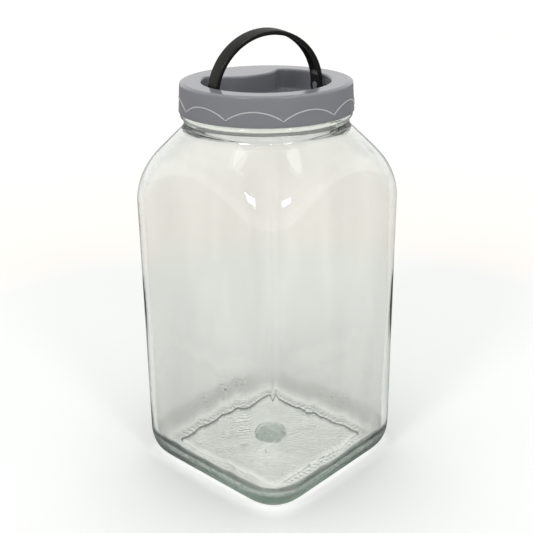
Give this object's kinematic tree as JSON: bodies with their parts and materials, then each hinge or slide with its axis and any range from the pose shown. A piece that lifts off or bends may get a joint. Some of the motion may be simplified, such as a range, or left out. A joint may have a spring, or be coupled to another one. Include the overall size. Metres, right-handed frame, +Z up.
{
  "type": "glass water jug",
  "caption": "Tall square clear-glass jug with rounded corners, sloping shoulder, grey screw lid with a scalloped skirt and recessed top, and a black arched handle that folds into the lid.",
  "frame": {"origin": "on the table under the middle of the jar's square base", "axes": "+Z up; the jar's flat walls are square to X and Y; the front corner is between +X and -Y"},
  "size_m": [0.143, 0.143, 0.3113],
  "materials": {
    "clear_glass": "clear moulded soda-lime glass, faintly green where thick",
    "grey_plastic": "smooth moulded mid-grey plastic",
    "liner_foam": "closed-cell off-white foam",
    "black_plastic": "satin black moulded plastic"
  },
  "bodies": {
    "jar": {"glass_jar": "clear_glass"},
    "liner": {"seal_ring": "liner_foam"},
    "lid": {"lid": "grey_plastic"},
    "handle": {"handle": "black_plastic"}
  },
  "joints": [
    {"name": "lid_lift", "type": "slide", "parent": "jar", "child": "liner", "axis": [0, 0, 1], "range_m": [0, 0.0181]},
    {"name": "lid_turn", "type": "hinge", "parent": "liner", "child": "lid", "pos_m": [0, 0, 0.2687], "axis": [0, 0, 1], "range_deg": [0, 1080]},
    {"name": "handle_fold", "type": "hinge", "parent": "lid", "child": "handle", "pos_m": [0, 0, 0.2708], "axis": [0.319, 0.9478, 0], "range_deg": [-60, 86.4]}
  ],
  "couplings": [
    {"joint": "lid_lift", "follows": "lid_turn", "m_per_rad": 0.00095493}
  ]
}
